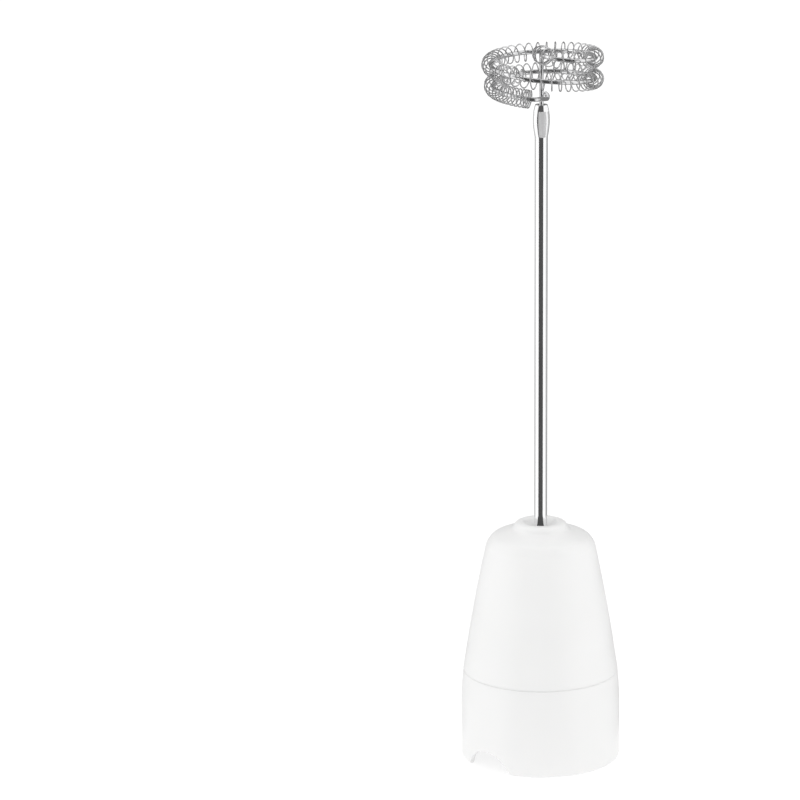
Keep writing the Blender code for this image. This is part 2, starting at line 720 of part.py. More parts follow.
def closeness(from_end, stretch):
    """How closely the coil is wound at a distance from one end: 1 at the end, 0 past the stretch."""
    return np.clip((stretch - from_end) / (COIL_EASE * stretch), 0.0, 1.0)


def coil_turn(at, length):
    """Turns wound up to each distance: close winding at both ends, and open winding between them."""
    close = np.maximum(closeness(at, COIL_LEAD_LENGTH), closeness(length - at, COIL_DENSE_LENGTH))
    pitch = COIL_PITCH + (COIL_DENSE_PITCH - COIL_PITCH) * close
    steps = np.diff(at) / ((pitch[1:] + pitch[:-1]) / 2)
    return np.concatenate([[0.0], np.cumsum(steps)])


def coil_path(points_per_turn):
    centre, tangent, at = coil_axis(4000)
    turn = coil_turn(at, at[-1])
    wanted = np.arange(0.0, turn[-1], 1.0 / points_per_turn)
    centre = np.stack([np.interp(wanted, turn, centre[:, k]) for k in range(3)], axis=1)
    tangent = np.stack([np.interp(wanted, turn, tangent[:, k]) for k in range(3)], axis=1)
    left = np.cross((0.0, 0.0, 1.0), tangent)
    left /= np.linalg.norm(left, axis=1)[:, None]
    up = np.cross(tangent, left)
    angle = 2 * math.pi * wanted[:, None] + math.pi / 2
    return centre + COIL_R * (np.cos(angle) * left + np.sin(angle) * up)


def froth_coil():
    return wire("froth_coil", [front_frame(p) for p in coil_path(6)], COIL_WIRE_R, 0, "steel")


def drive_tip():
    """Hexagonal tip with a hole for the rod's reduced end."""
    hexagon = circle(TIP_R, 6)
    return flat("drive_tip", [hexagon, circle(ROD_NECK_R + GAP, 16)], *TIP_Z, "steel")


# ---- assembly ----


def body(name, parent=None, place=(0.0, 0.0)):
    """An empty on the axis of a group of pieces that move together."""
    empty = bpy.data.objects.new(name, None)
    PART.objects.link(empty)
    empty.parent = parent
    empty.location.x, empty.location.y = place
    return empty


def carry(parent, *pieces):
    for piece in pieces:
        piece.parent = parent


def build():
    head = body("head")
    carry(head, upper_housing(), coupling_skirt(), gearbox_plate(), ring_gear())
    carry(head, *[plate_screw(index) for index in range(SCREWS)])
    carry(head, input_bush(), output_bush(), shaft_seal())

    driven = body("input", head)
    sun = external_gear("sun_gear", SUN_TEETH, SHAFT_R + GAP, *SUN_Z, 0.0, "natural_nylon")
    carry(driven, drive_coupling(), cylinder("input_shaft", SHAFT_R, *SHAFT_Z, "steel"), sun)
    carry(driven, sleeve("thrust_washer", SHAFT_R + GAP, WASHER_R, *WASHER_Z, "steel"))

    output = body("output", head)
    carry(output, planet_carrier(), *[planet_pin(index) for index in range(PLANETS)])
    carry(output, output_spindle(), circlip(), grip_ring())
    for index in range(PLANETS):
        carry(body(f"planet_{index + 1}", output, planet_place(index)), planet(index))

    whisk = body("whisk", output)
    carry(whisk, drive_rod(), drive_tip(), whisk_wire(), froth_coil())


clear_scene()
PART = new_collection("milk_frother")
CUTTERS = new_collection("cutters")
build()
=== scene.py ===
"""Looks of the milk frother attachment: fine surfaces, materials, stage, light and camera
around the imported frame. Sizes are in metres, and +Z runs up the shaft."""

import json
import math

import bpy
import numpy as np
from mathutils import Matrix, Vector


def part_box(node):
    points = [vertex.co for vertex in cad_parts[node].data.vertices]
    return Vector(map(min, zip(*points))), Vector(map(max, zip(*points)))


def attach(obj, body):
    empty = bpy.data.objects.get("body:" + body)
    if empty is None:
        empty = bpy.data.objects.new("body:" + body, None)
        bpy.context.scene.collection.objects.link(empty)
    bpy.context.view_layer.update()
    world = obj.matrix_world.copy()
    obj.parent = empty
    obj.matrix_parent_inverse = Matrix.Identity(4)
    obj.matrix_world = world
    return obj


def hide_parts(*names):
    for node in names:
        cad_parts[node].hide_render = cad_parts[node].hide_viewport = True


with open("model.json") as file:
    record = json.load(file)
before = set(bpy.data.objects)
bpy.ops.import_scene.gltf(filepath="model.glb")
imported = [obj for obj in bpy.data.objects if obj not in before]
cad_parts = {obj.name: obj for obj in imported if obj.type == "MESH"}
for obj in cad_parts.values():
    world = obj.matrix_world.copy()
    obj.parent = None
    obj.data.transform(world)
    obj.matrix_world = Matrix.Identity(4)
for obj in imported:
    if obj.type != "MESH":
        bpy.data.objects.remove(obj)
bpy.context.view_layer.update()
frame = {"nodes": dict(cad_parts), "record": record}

MM = 0.001
TURN = 2 * math.pi
QUARTER = TURN / 4

# Places read from the frame
SKIRT_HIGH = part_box("coupling_skirt")[1]
HOUSING_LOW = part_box("upper_housing")[0]
ROD_LOW, ROD_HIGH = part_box("drive_rod")
COUPLING_LOW, COUPLING_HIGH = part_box("drive_coupling")
SEAL_LOW, SEAL_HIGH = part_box("shaft_seal")

# Coupling skirt
SKIRT_R = SKIRT_HIGH.x
SKIRT_TOP_R = 25.4 * MM
SKIRT_TOP_Z = SKIRT_HIGH.z
SKIRT_INNER_R = 24.0 * MM
SKIRT_TAPER_Z = (27.5 * MM, 25.6 * MM, 23.0 * MM, 20.0 * MM)  # rows of the taper, down to its start
SKIRT_TAPER_CURVE = 1.4
SKIRT_STRAIGHT_Z = 18.0 * MM  # top of the wall's straight stretch
RIM_OUTER_ROUND = (0.9 * MM, 0.4 * MM)  # on the plain rim, and along the notch
RIM_INNER_ROUND = (0.3 * MM, 0.25 * MM)
RIM_CHANGE = 1.5 * MM  # height of the cut over which the rounding goes from the one to the other
RIM_STRAIGHT = 0.2 * MM  # from the outer rounding to the first straight row
RIM_INNER_STRAIGHT = 1.0 * MM  # the same inside, from the cut
FLANGE_Z = (25.2 * MM, 26.3 * MM)  # ledge inside the skirt, which clamps it
LUG_Z = (9.0 * MM, 12.0 * MM)
LUG_LEAD = (0.5 * MM, 0.2 * MM)  # height of the slope below a lug, and above it
LUG_DEPTH = 1.1 * MM

# Places round the skirt, in degrees from the middle of the notch
LUG_ANGLES = (90.0, 270.0)
LUG_HALF_ANGLE = 8.4
LUG_SIDE_ANGLE = 0.6
COLUMN_STEP = 2.0
COLUMN_GAP = (0.4, 0.3)  # from the notch to the first plain column, and the least from the last one back
PARALLEL_END = 50.0  # past here columns are radial, and well inside it parallel to the notch's cut
PARALLEL_FADE = 25.0  # over how much of an angle they change

NOTCH_R = 9.5 * MM
NOTCH_DROP = 3.0 * MM
NOTCH_STEPS = 60

# Seam: the shell's foot stands over the skirt's top, and a step behind it fills most of the gap
SEAM_Z = SKIRT_TOP_Z + 0.3 * MM
SEAM_EDGE = 0.1 * MM
SEAM_STEP_R = 25.36 * MM
SEAM_STEP_Z = SKIRT_TOP_Z + 0.04 * MM

# Gear housing
WALL = 2.0 * MM
HOUSING_HEAD_R = 18.0 * MM
HOUSING_HEAD_Z = 71.7 * MM
HOUSING_SWELL = 0.35 * MM
SHOULDER_Z = 70.9 * MM
# From the hole outwards, in mm: the collar's dish, its bead, its side, and the shoulder
COLLAR = ((2.7, 78.27), (3.3, 78.5), (4.1, 78.98), (4.9, 79.5), (5.5, 79.8), (6.2, 79.9), (7.2, 79.82),
          (8.0, 79.5), (8.55, 78.9), (8.8, 78.3), (9.25, 77.65), (10.3, 77.08), (12.6, 76.38),
          (14.85, 75.55), (16.15, 74.7), (17.15, 73.45), (17.75, 72.3))
HOLE_R = 2.4 * MM
HOLE_Z = (77.4 * MM, 78.2 * MM)
HOLE_EDGE = 0.15 * MM
COLLAR_BORE_R = 5.85 * MM
SPIGOT_R = 23.6 * MM
SPIGOT_INNER_R = 22.0 * MM
SPIGOT_TOP = 1.0 * MM  # height of its inner edge over the seam
CAVITY_Z = (36.0 * MM, 70.0 * MM)
CAVITY_ROOF = ((13.8 * MM, 73.6 * MM), (7.6 * MM, 74.6 * MM))
BOSS_R = 7.6 * MM
BOSS_LIP_R = 4.9 * MM
BOSS_Z = (53.0 * MM, 55.7 * MM)

# Seal
SEAL_CLEARANCE = 0.3 * MM
SEAL_EDGE = 0.35 * MM
SEAL_LIP_EDGE = 0.22 * MM
SEAL_LIP_HEIGHT = 0.6 * MM

# Splined socket
SPLINES = 6
SPLINE_R = 3.5 * MM
SPLINE_DEPTH = 0.6 * MM
SPLINE_FLANK, SPLINE_TOP = 2.2, 0.976  # steepness of the flanks, and its tanh
SOCKET_FLOOR_Z = 17.0 * MM
SOCKET_HOLE_R = 2.3 * MM
SOCKET_LEAD = (0.7 * MM, 0.8 * MM)  # how much wider the mouth is, and how deep that goes
SOCKET_EDGES = (0.3 * MM, 0.8 * MM)  # at the top and at the mouth
GROOVE_Z = (18.1 * MM, 18.4 * MM, 19.2 * MM, 19.5 * MM)
GROOVE_DEPTH = 0.35 * MM

# Rod
ROD_R = 2.1 * MM
ROD_NECK_R = 0.8 * MM
ROD_NECK = 8.4 * MM  # length of the neck
ROD_CHAMFER = 0.3 * MM
ROD_MOUTH_R = 1.95 * MM
ROD_MOUTH_Z = ROD_HIGH.z
ROD_MOUTH_EDGE = 0.14 * MM
ROD_BORE_R = 1.1 * MM
ROD_BORE_Z = 204.5 * MM
ROD_BORE_LEAD = 0.12 * MM
ROW_GAP = 0.01 * MM  # between two rows of points that hold an edge
PRESSED_Z = (208.1 * MM, 216.5 * MM)
PRESSED_DEPTH = 1.79 * MM
PRESSED_RAMP = 0.12 * MM
PRESSED_TURN = math.radians(11.0)
PRESSED_SHARE = 0.995  # a face this far out, as a share of the depth, lies on a flat
BULGE_Z = (208.0 * MM, 219.0 * MM)
BULGE = 0.62 * MM

# Whisk. Its wires are laid out in a frame of their own, whose -Y points along FRONT, the arm's direction
FRONT = math.radians(-47.0)
WIRE_R = 0.73 * MM
WIRE_END_ROUND = 0.35  # share of a wire's radius that is rounded at its cut ends
POST_LOW_Z = 205.5 * MM
POST_BEND_R = 2.2 * MM
ARM_Z = 235.4 * MM
RING_R = 16.6 * MM
RING_OFFSET = 0.4 * MM
RING_SHRINK = 0.8 * MM
RING_Z = (233.9, 232.7, 231.6, 229.3, 227.0, 226.2, 224.7, 223.0, 221.6)  # at each quarter turn, in mm
RING_END = math.radians(615.0)
TAIL_BEND_R = 2.4 * MM
TAIL_HEADING = math.radians(72.0)
TAIL_DROP = 0.3 * MM
HOOK_R = 2.0 * MM
HOOK_TURN = (math.radians(-28.0), math.radians(60.0))
HOOK_Z = (220.6 * MM, 222.0 * MM)

# Coil on the wire
COIL_R = 2.84 * MM
COIL_WIRE_R = 0.22 * MM
COIL_START = 0.078  # share of a turn at which the winding begins
COIL_PITCH = 2.75 * MM
COIL_DENSE_PITCH = 1.35 * MM
COIL_DENSE_LENGTH = 16.0 * MM
COIL_LEAD_LENGTH = 4.23 * MM
COIL_FADE = 0.3  # share of a closely wound stretch over which it opens up
COIL_SWAYS = ((0.07, 7.3 * MM, 0.0), (0.05, 3.1 * MM, 1.0))  # unevenness: share of the pitch, length, phase
COIL_CLOSING = (2.6 * MM, 1.0 * MM, 0.5)  # last turns: their length, over how much they close up, and how far
COIL_POINTS = 30  # in each turn
COIL_SAMPLES = 6000

# Camera: where it stands, and where it looks
CAMERA_AZIMUTH = math.radians(43.0)
CAMERA_DISTANCE = 1.490
CAMERA_HEIGHT = 0.517
CAMERA_LENS, CAMERA_SENSOR = 213.46, 36.0  # in mm
CAMERA_YAW = math.radians(1.760)
CAMERA_PITCH = math.radians(14.886)
CAMERA_ROLL = math.radians(-0.357)

# Stage
FLOOR_HALF = 6.0
SOFTBOX_SIZE = (0.8, 1.4)
SOFTBOX_DISTANCE = 1.4
SOFTBOX_HEIGHT = 0.9
SOFTBOX_AIM_Z = 0.1

# Flags stand round the object. Places on them are (radius, height)
FLAG_NEAR, FLAG_FAR = (0.04, 0.5 * MM), (2.4, 0.5 * MM)
FLAG_STEPS = 12
FRONT_WALL_JOIN, FRONT_WALL_TOP = (2.4, 0.9), (2.4, 2.4)
BACK_WALL_TOP = (2.4, 2.2)
OVERHEAD = (0.1, 3.0)
# Small grey sheets just over the collar's dish, seen only in reflections: painted reflections that carry the
# rod's dark stripes down to its foot
FOOT_PAINTED_REFLECTION = ((2.5 * MM, 78.6 * MM), (6.6 * MM, 80.6 * MM))
# A grey sheet below the wire ring, seen only in reflections: a painted reflection that darkens the lower half
# of its wire
RING_PAINTED_REFLECTION = ((0.02, 0.190), (0.22, 0.150))


# ---- node materials ----


class Nodes:
    """A material's node tree, with short calls for what is used here."""

    MIDDLE = (0.35, 0.65)  # most values of a noise lie between these

    def __init__(self, name, colour, roughness, metallic=0.0):
        self.material = bpy.data.materials.new(name)
        self.material.use_nodes = True
        self.tree = self.material.node_tree
        self.shader = self.tree.nodes["Principled BSDF"]
        self.shader.inputs["Base Color"].default_value = (*colour, 1.0)
        self.shader.inputs["Roughness"].default_value = roughness
        self.shader.inputs["Metallic"].default_value = metallic
        self.material.diffuse_color = (*colour, 1.0)

    def link(self, output, target):
        self.tree.links.new(output, target)

    def noise(self, scale, detail=2.0, stretch=(1.0, 1.0, 1.0)):
        """Noise in the object's own metres, stretched along the axes where a factor is small."""
        where = self.tree.nodes.new("ShaderNodeTexCoord")
        mapping = self.tree.nodes.new("ShaderNodeMapping")
        mapping.inputs["Scale"].default_value = stretch
        noise = self.tree.nodes.new("ShaderNodeTexNoise")
        noise.inputs["Scale"].default_value = scale
        noise.inputs["Detail"].default_value = detail
        self.link(where.outputs["Object"], mapping.inputs["Vector"])
        self.link(mapping.outputs["Vector"], noise.inputs["Vector"])
        return noise.outputs["Fac"]

    def rough(self, value, low, high):
        """Roughness that follows a noise, from low to high."""
        node = self.tree.nodes.new("ShaderNodeMapRange")
        node.inputs["From Min"].default_value, node.inputs["From Max"].default_value = self.MIDDLE
        node.inputs["To Min"].default_value = low
        node.inputs["To Max"].default_value = high
        self.link(value, node.inputs["Value"])
        self.link(node.outputs["Result"], self.shader.inputs["Roughness"])

    def colours(self, value, dark, light):
        """Base colour that follows a noise, from dark to light."""
        ramp = self.tree.nodes.new("ShaderNodeValToRGB")
        for stop, position, colour in zip(ramp.color_ramp.elements, self.MIDDLE, (dark, light)):
            stop.position = position
            stop.color = (*colour, 1.0)
        self.link(value, ramp.inputs["Fac"])
        self.link(ramp.outputs["Color"], self.shader.inputs["Base Color"])

    def bump(self, value, height, strength):
        node = self.tree.nodes.new("ShaderNodeBump")
        node.inputs["Strength"].default_value = strength
        node.inputs["Distance"].default_value = height
        self.link(value, node.inputs["Height"])
        self.link(node.outputs["Normal"], self.shader.inputs["Normal"])


def white_plastic():
    """Satin moulded plastic: faint cloudiness, and the fine spark-eroded texture of the mould."""
    nodes = Nodes("white_abs", (0.845, 0.845, 0.842), 0.4)
    nodes.colours(nodes.noise(30.0), (0.832, 0.833, 0.829), (0.853, 0.853, 0.850))
    nodes.rough(nodes.noise(120.0, 3.0), 0.36, 0.46)
    nodes.bump(nodes.noise(2600.0, 3.0), 0.006 * MM, 0.5)
    nodes.shader.inputs["Subsurface Weight"].default_value = 0.25
    nodes.shader.inputs["Subsurface Radius"].default_value = (1.0, 0.98, 0.95)
    nodes.shader.inputs["Subsurface Scale"].default_value = 0.9 * MM
    return nodes.material


def moulded_nylon(name, dark, light):
    """Dull moulded nylon, slightly clouded."""
    nodes = Nodes(name, light, 0.5)
    nodes.colours(nodes.noise(90.0), dark, light)
    nodes.rough(nodes.noise(300.0, 3.0), 0.44, 0.58)
    nodes.bump(nodes.noise(1800.0, 3.0), 0.01 * MM, 0.5)
    return nodes.material


def rubber():
    """Dark rubber with a dull, slightly grainy skin."""
    nodes = Nodes("seal_rubber", (0.075, 0.075, 0.08), 0.7)
    nodes.colours(nodes.noise(500.0), (0.060, 0.060, 0.064), (0.095, 0.095, 0.10))
    nodes.rough(nodes.noise(900.0), 0.62, 0.78)
    nodes.bump(nodes.noise(3000.0, 3.0), 0.012 * MM, 0.6)
    return nodes.material


def sintered_bronze():
    """Bearing bronze, grainy from the powder it is pressed from."""
    nodes = Nodes("sintered_bronze", (0.60, 0.40, 0.20), 0.4, 1.0)
    nodes.colours(nodes.noise(2500.0, 4.0), (0.48, 0.31, 0.15), (0.68, 0.47, 0.25))
    nodes.rough(nodes.noise(1500.0), 0.32, 0.5)
    nodes.bump(nodes.noise(2500.0, 4.0), 0.01 * MM, 0.5)
    return nodes.material


def plain_steel():
    """Turned steel: fine tool marks run round it."""
    nodes = Nodes("turned_steel", (0.62, 0.62, 0.63), 0.32, 1.0)
    nodes.colours(nodes.noise(200.0), (0.56, 0.56, 0.57), (0.66, 0.66, 0.67))
    nodes.rough(nodes.noise(900.0, 3.0, (1.0, 1.0, 12.0)), 0.24, 0.4)
    nodes.bump(nodes.noise(900.0, 2.0, (0.3, 0.3, 12.0)), 0.004 * MM, 0.5)
    return nodes.material


def polished_steel():
    """Drawn and polished bar: very fine lines run along it."""
    nodes = Nodes("polished_steel", (0.93, 0.93, 0.935), 0.1, 1.0)
    nodes.colours(nodes.noise(60.0, 2.0, (1.0, 1.0, 0.2)), (0.90, 0.90, 0.905), (0.945, 0.945, 0.95))
    nodes.rough(nodes.noise(2400.0, 3.0, (1.0, 1.0, 0.01)), 0.06, 0.15)
    nodes.bump(nodes.noise(2400.0, 2.0, (1.0, 1.0, 0.01)), 0.0015 * MM, 0.4)
    return nodes.material


def pressed_steel():
    """The flat that the crimping jaws leave: dull, with fine upright marks."""
    nodes = Nodes("pressed_steel", (0.90, 0.90, 0.905), 0.6, 0.7)
    nodes.colours(nodes.noise(3000.0, 2.0, (1.0, 1.0, 0.03)), (0.85, 0.85, 0.855), (0.95, 0.95, 0.955))
    nodes.rough(nodes.noise(2000.0, 3.0, (1.0, 1.0, 0.05)), 0.50, 0.68)
    nodes.bump(nodes.noise(3000.0, 2.0, (1.0, 1.0, 0.03)), 0.005 * MM, 0.5)
    return nodes.material


def drawn_wire():
    """Bright drawn wire of the post and the ring."""
    nodes = Nodes("drawn_wire", (0.70, 0.70, 0.705), 0.16, 1.0)
    nodes.colours(nodes.noise(400.0), (0.64, 0.64, 0.645), (0.74, 0.74, 0.745))
    nodes.rough(nodes.noise(1500.0, 3.0), 0.10, 0.22)
    nodes.bump(nodes.noise(4000.0, 2.0), 0.001 * MM, 0.4)
    return nodes.material


def spring_wire():
    """Fine wire of the coil: a little darker, as hard-drawn spring wire is."""
    nodes = Nodes("spring_wire", (0.66, 0.66, 0.665), 0.2, 1.0)
    nodes.colours(nodes.noise(400.0), (0.60, 0.60, 0.605), (0.72, 0.72, 0.725))
    nodes.rough(nodes.noise(1500.0, 3.0), 0.14, 0.28)
    nodes.bump(nodes.noise(4000.0, 2.0), 0.001 * MM, 0.4)
    return nodes.material


# ---- curves ----


def corner(centre, radius, start, end, count=5):
    """Points on a rounded corner, its angles in degrees."""
    angles = [math.radians(start + (end - start) * i / count) for i in range(count + 1)]
    return [(centre[0] + radius * math.cos(a), centre[1] + radius * math.sin(a)) for a in angles]


def bezier(a, b, c, d, count):
    """Points on a plane Bezier curve."""
    points = []
    for i in range(count + 1):
        u = i / count
        v = 1 - u
        weights = (v**3, 3 * v * v * u, 3 * v * u * u, u**3)
        points.append(tuple(sum(w * p[k] for w, p in zip(weights, (a, b, c, d))) for k in range(2)))
    return points


def between(a, b, c, d, u):
    """A value between b and c on the smooth curve through four evenly spaced ones."""
    square, cube = 2 * a - 5 * b + 4 * c - d, 3 * b - a - 3 * c + d
    return 0.5 * (2 * b + (c - a) * u + square * u**2 + cube * u**3)


def smooth_through(points, count):
    """A smooth curve through points of a profile, with this many steps between each two."""
    rows = np.asarray(points, float)
    rows = np.vstack([2 * rows[0] - rows[1], rows, 2 * rows[-1] - rows[-2]])
    curve = []
    for four in zip(rows, rows[1:], rows[2:], rows[3:]):
        curve += [tuple(between(*four, i / count)) for i in range(count)]
    return curve + [tuple(rows[-2])]


def unit_rows(rows):
    return rows / np.linalg.norm(rows, axis=1)[:, None]


def resample(rows, at, wanted):
    """Rows of numbers, known at some places, read off at others."""
    return np.stack([np.interp(wanted, at, rows[:, k]) for k in range(3)], axis=1)


def carried_frames(path):
    """Tangents, and two normals carried along the path without twist."""
    tangent = unit_rows(np.gradient(path, axis=0))
    first = np.cross(tangent[0], (0.0, 0.3, 1.0))
    if np.linalg.norm(first) < 0.1:
        first = np.cross(tangent[0], (1.0, 0.0, 0.0))
    normals = [first / np.linalg.norm(first)]
    for t in tangent[1:]:
        n = normals[-1] - t * (normals[-1] @ t)
        normals.append(n / np.linalg.norm(n))
    normals = np.array(normals)
    return tangent, normals, np.cross(tangent, normals)


# ---- meshes ----


def make_object(name, points, faces, materials, sharp=35.0):
    """A smooth-shaded mesh whose edges stay sharp where they turn by more than the given angle."""
    mesh = bpy.data.meshes.new(name)
    mesh.from_pydata([tuple(p) for p in points], [], faces)
    mesh.update()
    mesh.shade_smooth()
    mesh.set_sharp_from_angle(angle=math.radians(sharp))
    for material in materials:
        mesh.materials.append(material)
    obj = bpy.data.objects.new(name, mesh)
    bpy.context.scene.collection.objects.link(obj)
    return obj


def ring_faces(rows, columns):
    """Quads of a closed ring: each row of points runs right round, and the last row meets the first."""
    faces = []
    for i in range(rows):
        k = (i + 1) % rows
        for j in range(columns):
            m = (j + 1) % columns
            faces.append((i * columns + j, k * columns + j, k * columns + m, i * columns + m))
    return faces


def bar_faces(rows, columns):
    """Quads of a bar: each row of points runs right round, and the first and the last row are capped."""
    faces = []
    for i in range(rows - 1):
        for j in range(columns):
            m = (j + 1) % columns
            faces.append((i * columns + j, i * columns + m, (i + 1) * columns + m, (i + 1) * columns + j))
    caps = [tuple(reversed(range(columns))), tuple(range((rows - 1) * columns, rows * columns))]
    return faces + caps


def lathe(name, profile, material, steps):
    """A closed profile turned about Z. It starts on the outer side and runs downwards.

    A radius may be a number or a function of the angle."""
    points = []
    for radius, z in profile:
        for j in range(steps):
            a = TURN * j / steps
            r = radius(a) if callable(radius) else radius
            points.append((r * math.cos(a), r * math.sin(a), z))
    return make_object(name, points, ring_faces(len(profile), steps), [material])


def tube(name, path, radius, sides, material):
    """A round wire along a path, its cut ends slightly rounded."""
    path = np.asarray(path, float)
    tangent, normal, binormal = carried_frames(path)
    ends = []
    for i in range(4):
        a = QUARTER * i / 3
        ends.append((WIRE_END_ROUND * radius * (1 - math.sin(a)), 1 - WIRE_END_ROUND * (1 - math.cos(a))))
    rings = [(path[0] + tangent[0] * depth, scale, 0) for depth, scale in reversed(ends)]
    rings += [(path[k], 1.0, k) for k in range(1, len(path) - 1)]
    rings += [(path[-1] - tangent[-1] * depth, scale, -1) for depth, scale in ends]
    angles = TURN * np.arange(sides)[:, None] / sides
    points = []
    for centre, scale, k in rings:
        points.extend(centre + radius * scale * (np.cos(angles) * normal[k] + np.sin(angles) * binormal[k]))
    return make_object(name, points, bar_faces(len(rings), sides), [material], 60.0)


def settle(obj, body, slot, *nodes):
    """The piece rides on a body and stands for its CAD nodes, which it hides. The slot is not used."""
    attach(obj, body)
    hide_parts(*nodes)


# ---- gear head ----


def shell_radius(z):
    """Outer radius of the housing's long taper, which swells slightly between the seam and the shoulder."""
    u = (z - SEAM_Z) / (HOUSING_HEAD_Z - SEAM_Z)
    return SKIRT_TOP_R + (HOUSING_HEAD_R - SKIRT_TOP_R) * u + HOUSING_SWELL * math.sin(math.pi * u)


def housing(material):
    """Upper shell: dished collar, shoulder, long taper, spigot inside the skirt and the bearing boss."""
    points = [(r * MM, z * MM) for r, z in COLLAR] + [(shell_radius(SHOULDER_Z), SHOULDER_Z)]
    outer = corner((HOLE_R + HOLE_EDGE, HOLE_Z[1] - HOLE_EDGE), HOLE_EDGE, 180, 120)
    outer += smooth_through(points, 5)
    outer += [(shell_radius(z), z) for z in np.linspace(SHOULDER_Z, SEAM_Z + SEAM_EDGE, 30)[1:-1]]
    outer += corner((SKIRT_TOP_R - SEAM_EDGE, SEAM_Z + SEAM_EDGE), SEAM_EDGE, 0, -90)
    spigot = [(SEAM_STEP_R, SEAM_Z), (SEAM_STEP_R, SEAM_STEP_Z), (SPIGOT_R, SEAM_STEP_Z)]
    spigot += [(SPIGOT_R, HOUSING_LOW.z), (SPIGOT_INNER_R, HOUSING_LOW.z)]
    inner = [(SPIGOT_INNER_R, SEAM_Z + SPIGOT_TOP)]
    inner += [(shell_radius(z) - WALL, z) for z in np.linspace(*CAVITY_Z, 6)]
    inner += CAVITY_ROOF
    boss = [(BOSS_R, BOSS_Z[0]), (BOSS_LIP_R, BOSS_Z[0]), (BOSS_LIP_R, BOSS_Z[1]), (COLLAR_BORE_R, BOSS_Z[1])]
    hole = [(COLLAR_BORE_R, HOLE_Z[0]), (HOLE_R, HOLE_Z[0])]
    obj = lathe("gear_housing", outer + spigot + inner + boss + hole, material, 192)
    settle(obj, "head", "white_plastic", "upper_housing")


def column_places():
    """Columns round the skirt: (angle in degrees from the notch's middle, rim height)."""
    half = math.asin(NOTCH_DROP / NOTCH_R)
    notch = []
    for i in range(NOTCH_STEPS + 1):
        a = half + (math.pi - 2 * half) * i / NOTCH_STEPS
        x, height = -NOTCH_R * math.cos(a), NOTCH_R * math.sin(a) - NOTCH_DROP
        notch.append((math.degrees(math.asin(x / SKIRT_R)), max(0.0, height)))
    edge = notch[-1][0]
    plain = np.arange(edge + COLUMN_GAP[0], 360 - edge - COLUMN_GAP[1], COLUMN_STEP)
    angles = {round(float(angle), 3) for angle in plain}
    for middle in LUG_ANGLES:
        for side in (-1, 1):
            angles |= {middle + side * reach for reach in (LUG_HALF_ANGLE, LUG_HALF_ANGLE + LUG_SIDE_ANGLE)}
    return sorted(notch + [(angle, 0.0) for angle in angles])


def skirt_section(height):
    """Rows of the skirt's section above a rim at this height.

    A row is its radius, its z, and whether it is on the inner wall."""
    cut = min(1.0, height / RIM_CHANGE)
    outer_round, inner_round = (a + (b - a) * cut for a, b in (RIM_OUTER_ROUND, RIM_INNER_ROUND))
    outer = corner((SKIRT_TOP_R - SEAM_EDGE, SKIRT_TOP_Z - SEAM_EDGE), SEAM_EDGE, 90, 0, 4)
    for z in SKIRT_TAPER_Z:
        rise = (z - SKIRT_TAPER_Z[-1]) / (SKIRT_TOP_Z - SKIRT_TAPER_Z[-1])
        outer.append((SKIRT_R + (SKIRT_TOP_R - SKIRT_R) * rise**SKIRT_TAPER_CURVE, z))
    outer += [(SKIRT_R, z) for z in np.linspace(SKIRT_STRAIGHT_Z, height + outer_round + RIM_STRAIGHT, 8)]
    outer += corner((SKIRT_R - outer_round, height + outer_round), outer_round, 0, -90, 6)
    inner = corner((SKIRT_INNER_R + inner_round, height + inner_round), inner_round, -90, -180, 4)
    for z in (LUG_Z[0] - LUG_LEAD[0], *LUG_Z, LUG_Z[1] + LUG_LEAD[1], SKIRT_STRAIGHT_Z, FLANGE_Z[0]):
        inner.append((SKIRT_INNER_R, max(z, height + RIM_INNER_STRAIGHT)))
    ledge = [(SPIGOT_INNER_R, FLANGE_Z[0]), (SPIGOT_INNER_R, FLANGE_Z[1]), (SKIRT_INNER_R, FLANGE_Z[1])]
    ledge += [(SKIRT_INNER_R, SKIRT_TOP_Z - SEAM_EDGE), (SKIRT_INNER_R + SEAM_EDGE, SKIRT_TOP_Z)]
    stretches = ((outer, False), (inner, True), (ledge, False))
    return [(r, z, is_inner) for rows, is_inner in stretches for r, z in rows]


def lug_depth(angle, z, is_inner):
    """How far a latch lug stands in from the inner wall."""
    side = min(abs(angle - middle) for middle in LUG_ANGLES)
    return LUG_DEPTH if is_inner and side <= LUG_HALF_ANGLE and LUG_Z[0] <= z <= LUG_Z[1] else 0.0


def column_angle(angle, r):
    """Where a column stands at a radius: near the notch parallel to its cut, and elsewhere radially."""
    turned = (angle + 180) % 360 - 180
    blend = min(1.0, max(0.0, (PARALLEL_END - abs(turned)) / PARALLEL_FADE))
    if not blend:
        return math.radians(angle)
    parallel = math.asin(max(-1.0, min(1.0, SKIRT_R * math.sin(math.radians(angle)) / r)))
    return math.radians(turned) * (1 - blend) + parallel * blend


def skirt(material):
    """Open coupling skirt with its release notch and two latch lugs."""
    columns = column_places()
    sections = [skirt_section(height) for _, height in columns]
    points = []
    for row in range(len(sections[0])):
        for (angle, _), section in zip(columns, sections):
            r, z, is_inner = section[row]
            r -= lug_depth(angle % 360, z, is_inner)
            a = column_angle(angle, r)
            points.append((r * math.sin(a), -r * math.cos(a), z))
    faces = ring_faces(len(sections[0]), len(columns))
    obj = make_object("coupling_sleeve", points, faces, [material], 32.0)
    settle(obj, "head", "white_plastic", "coupling_skirt")


